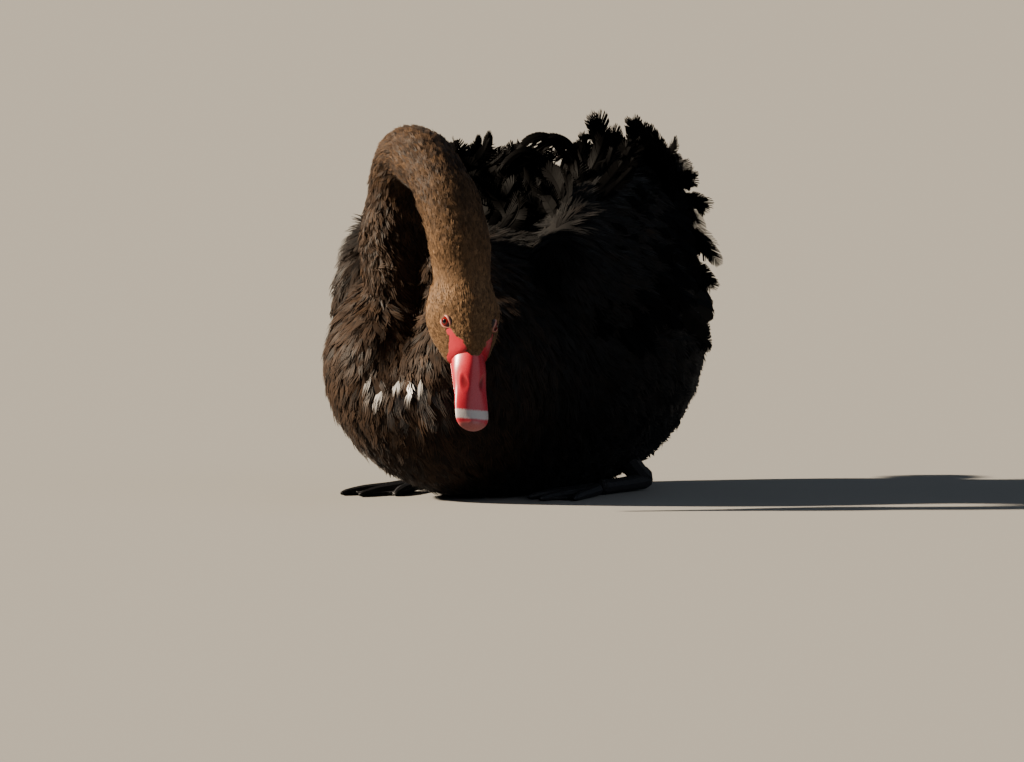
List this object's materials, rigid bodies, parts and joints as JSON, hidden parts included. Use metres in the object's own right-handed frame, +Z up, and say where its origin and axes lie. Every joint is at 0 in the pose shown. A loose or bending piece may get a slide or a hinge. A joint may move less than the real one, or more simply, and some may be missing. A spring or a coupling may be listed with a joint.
{
  "type": "black swan figure",
  "caption": "Life-size still figure of a black swan resting on its belly, neck arched and bill pointing down, with ruffled wing feathers.",
  "frame": {"origin": "middle of the flat that the belly rests on", "axes": "+Z up, the breast faces -Y, the bird's left side is +X, the tail points to +Y"},
  "size_m": [0.2866, 0.627, 0.3156],
  "materials": {
    "plumage": "brown-black feathers",
    "bill": "glossy red horn with a pale bar near the tip",
    "eye": "wet red iris with a black pupil",
    "leg": "black scaly skin"
  },
  "bodies": {
    "root": {"torso": "plumage", "neck_base": "plumage", "neck_rise": "plumage", "neck_arch": "plumage", "neck_fall": "plumage", "head": "plumage", "eye_left": "eye", "eye_right": "eye", "bill_upper": "bill", "bill_lower": "bill", "wing_left": "plumage", "wing_right": "plumage", "tail": "plumage", "leg_left": "leg", "leg_right": "leg", "foot_left": "leg", "foot_right": "leg"}
  },
  "joints": []
}
